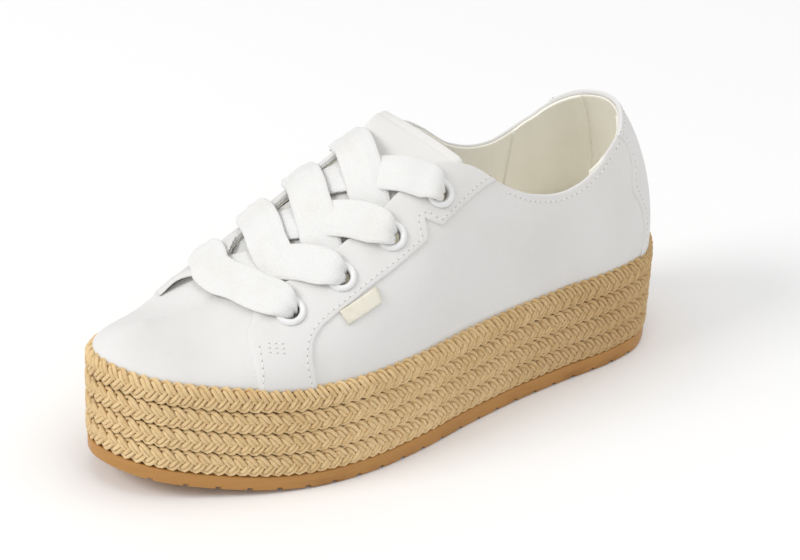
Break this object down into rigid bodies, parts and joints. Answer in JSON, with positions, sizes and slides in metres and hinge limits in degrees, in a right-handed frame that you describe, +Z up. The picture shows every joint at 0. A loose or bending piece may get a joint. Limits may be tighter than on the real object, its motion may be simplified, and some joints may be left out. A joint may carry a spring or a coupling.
{
  "type": "platform sneaker",
  "caption": "Low canvas lace-up sneaker, left foot, on a thick platform wrapped in plaited braid over a grooved rubber outsole.",
  "frame": {"origin": "middle of the sole's outline on the floor", "axes": "-Y towards the toe, +X towards the outer side of the foot, +Z up"},
  "size_m": [0.0933, 0.26, 0.1116],
  "materials": {
    "gum_rubber": "satin gum rubber",
    "braid": "natural plaited jute",
    "lining": "cream cotton lining",
    "canvas": "white cotton canvas",
    "tongue_canvas": "white cotton canvas",
    "eyelet_metal": "white enamel",
    "lace_cotton": "flat woven cotton"
  },
  "bodies": {
    "root": {"outsole": "gum_rubber", "platform": "braid", "insole": "lining", "upper": "canvas", "tongue": "tongue_canvas", "eyelet_outer_1": "eyelet_metal", "eyelet_outer_2": "eyelet_metal", "eyelet_outer_3": "eyelet_metal", "eyelet_outer_4": "eyelet_metal", "eyelet_inner_1": "eyelet_metal", "eyelet_inner_2": "eyelet_metal", "eyelet_inner_3": "eyelet_metal", "eyelet_inner_4": "eyelet_metal", "lace_bar": "lace_cotton", "lace_crossing_1": "lace_cotton", "lace_crossing_2": "lace_cotton", "lace_crossing_3": "lace_cotton"}
  },
  "joints": []
}
